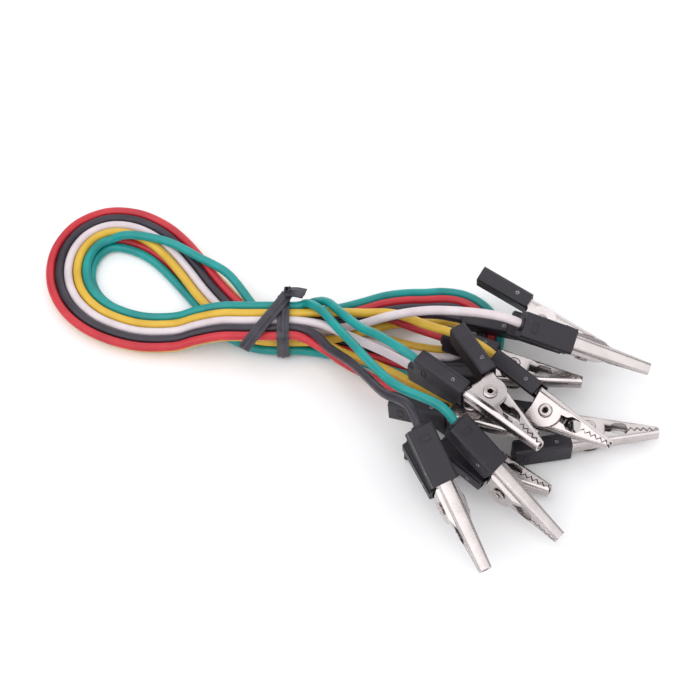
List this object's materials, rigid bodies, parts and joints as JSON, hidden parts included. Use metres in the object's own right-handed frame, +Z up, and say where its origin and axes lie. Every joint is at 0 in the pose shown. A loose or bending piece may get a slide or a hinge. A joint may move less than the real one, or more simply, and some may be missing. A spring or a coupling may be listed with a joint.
{
  "type": "test lead set",
  "caption": "Bundle of double-ended test leads with miniature crocodile clips, folded and held by a twist tie; every clip opens on a sprung rivet.",
  "frame": {"origin": "on the table, below the middle of the clips and the twist tie", "axes": "+Z up, +X from the wire loop towards the clip tips, +Y away from the viewer"},
  "size_m": [0.1516, 0.1102, 0.0272],
  "materials": {
    "nickel": "nickel plate, slightly warm, stamped",
    "grip": "black moulded plastic, fine grain",
    "tie": "flat black plastic over a steel wire",
    "green_wire": "green PVC insulation, satin",
    "yellow_wire": "yellow PVC insulation, satin",
    "white_wire": "white PVC insulation, satin",
    "black_wire": "black PVC insulation, satin",
    "red_wire": "red PVC insulation, satin"
  },
  "bodies": {
    "root": {"green_wire": "green_wire", "yellow_wire": "yellow_wire", "white_wire": "white_wire", "black_wire": "black_wire", "red_wire": "red_wire", "twist_tie": "tie", "white_clip_a_rivet": "nickel", "white_clip_a_inner_jaw": "nickel", "white_clip_a_thumb_grip": "grip", "white_clip_b_rivet": "nickel", "white_clip_b_outer_jaw": "nickel", "white_clip_b_wire_grip": "grip", "red_clip_a_rivet": "nickel", "red_clip_a_outer_jaw": "nickel", "red_clip_a_wire_grip": "grip", "red_clip_b_rivet": "nickel", "red_clip_b_outer_jaw": "nickel", "red_clip_b_wire_grip": "grip", "green_clip_a_rivet": "nickel", "green_clip_a_outer_jaw": "nickel", "green_clip_a_wire_grip": "grip", "green_clip_b_rivet": "nickel", "green_clip_b_inner_jaw": "nickel", "green_clip_b_thumb_grip": "grip", "black_clip_a_rivet": "nickel", "black_clip_a_outer_jaw": "nickel", "black_clip_a_wire_grip": "grip", "black_clip_b_rivet": "nickel", "black_clip_b_inner_jaw": "nickel", "black_clip_b_thumb_grip": "grip", "yellow_clip_a_rivet": "nickel", "yellow_clip_a_outer_jaw": "nickel", "yellow_clip_a_wire_grip": "grip", "yellow_clip_b_rivet": "nickel", "yellow_clip_b_outer_jaw": "nickel", "yellow_clip_b_wire_grip": "grip"},
    "white_clip_a_wire_side": {"white_clip_a_outer_jaw": "nickel", "white_clip_a_wire_grip": "grip"},
    "white_clip_b_thumb_side": {"white_clip_b_inner_jaw": "nickel", "white_clip_b_thumb_grip": "grip"},
    "red_clip_a_thumb_side": {"red_clip_a_inner_jaw": "nickel", "red_clip_a_thumb_grip": "grip"},
    "red_clip_b_thumb_side": {"red_clip_b_inner_jaw": "nickel", "red_clip_b_thumb_grip": "grip"},
    "green_clip_a_thumb_side": {"green_clip_a_inner_jaw": "nickel", "green_clip_a_thumb_grip": "grip"},
    "green_clip_b_wire_side": {"green_clip_b_outer_jaw": "nickel", "green_clip_b_wire_grip": "grip"},
    "black_clip_a_thumb_side": {"black_clip_a_inner_jaw": "nickel", "black_clip_a_thumb_grip": "grip"},
    "black_clip_b_wire_side": {"black_clip_b_outer_jaw": "nickel", "black_clip_b_wire_grip": "grip"},
    "yellow_clip_a_thumb_side": {"yellow_clip_a_inner_jaw": "nickel", "yellow_clip_a_thumb_grip": "grip"},
    "yellow_clip_b_thumb_side": {"yellow_clip_b_inner_jaw": "nickel", "yellow_clip_b_thumb_grip": "grip"}
  },
  "joints": [
    {"name": "white_clip_a_hinge", "type": "hinge", "parent": "root", "child": "white_clip_a_wire_side", "pos_m": [0.03353, 0.01775, 0.0117], "axis": [-0.3114, -0.7967, -0.518], "range_deg": [0, 20], "stiffness_Nm_per_rad": 0.05, "springref_deg": -28.65},
    {"name": "white_clip_b_hinge", "type": "hinge", "parent": "root", "child": "white_clip_b_thumb_side", "pos_m": [0.00503, -0.00325, 0.0152], "axis": [0.0701, -0.0161, -0.9974], "range_deg": [0, 20], "stiffness_Nm_per_rad": 0.05, "springref_deg": -28.65},
    {"name": "red_clip_a_hinge", "type": "hinge", "parent": "root", "child": "red_clip_a_thumb_side", "pos_m": [0.01633, 0.01455, 0.0066], "axis": [0.0131, -0.0209, -0.9997], "range_deg": [0, 20], "stiffness_Nm_per_rad": 0.05, "springref_deg": -28.65},
    {"name": "red_clip_b_hinge", "type": "hinge", "parent": "root", "child": "red_clip_b_thumb_side", "pos_m": [0.00893, -0.00945, 0.0035], "axis": [0, 0, -1], "range_deg": [0, 20], "stiffness_Nm_per_rad": 0.05, "springref_deg": -28.65},
    {"name": "green_clip_a_hinge", "type": "hinge", "parent": "root", "child": "green_clip_a_thumb_side", "pos_m": [0.00903, -0.00385, 0.0222], "axis": [-0.0311, -0.0715, 0.997], "range_deg": [0, 20], "stiffness_Nm_per_rad": 0.05, "springref_deg": -28.65},
    {"name": "green_clip_b_hinge", "type": "hinge", "parent": "root", "child": "green_clip_b_wire_side", "pos_m": [0.01273, -0.02105, 0.0107], "axis": [-0.6561, -0.7547, 0], "range_deg": [0, 20], "stiffness_Nm_per_rad": 0.05, "springref_deg": -28.65},
    {"name": "black_clip_a_hinge", "type": "hinge", "parent": "root", "child": "black_clip_a_thumb_side", "pos_m": [0.02373, 0.02795, 0.0074], "axis": [-0.0654, -0.3776, 0.9237], "range_deg": [0, 20], "stiffness_Nm_per_rad": 0.05, "springref_deg": -28.65},
    {"name": "black_clip_b_hinge", "type": "hinge", "parent": "root", "child": "black_clip_b_wire_side", "pos_m": [-0.00007, -0.02705, 0.0129], "axis": [-0.8985, -0.4309, -0.0838], "range_deg": [0, 20], "stiffness_Nm_per_rad": 0.05, "springref_deg": -28.65},
    {"name": "yellow_clip_a_hinge", "type": "hinge", "parent": "root", "child": "yellow_clip_a_thumb_side", "pos_m": [0.02333, -0.00305, 0.0143], "axis": [0.3599, 0.2972, -0.8844], "range_deg": [0, 20], "stiffness_Nm_per_rad": 0.05, "springref_deg": -28.65},
    {"name": "yellow_clip_b_hinge", "type": "hinge", "parent": "root", "child": "yellow_clip_b_thumb_side", "pos_m": [0.03373, -0.00165, 0.0035], "axis": [0, 0, -1], "range_deg": [0, 20], "stiffness_Nm_per_rad": 0.05, "springref_deg": -28.65}
  ]
}
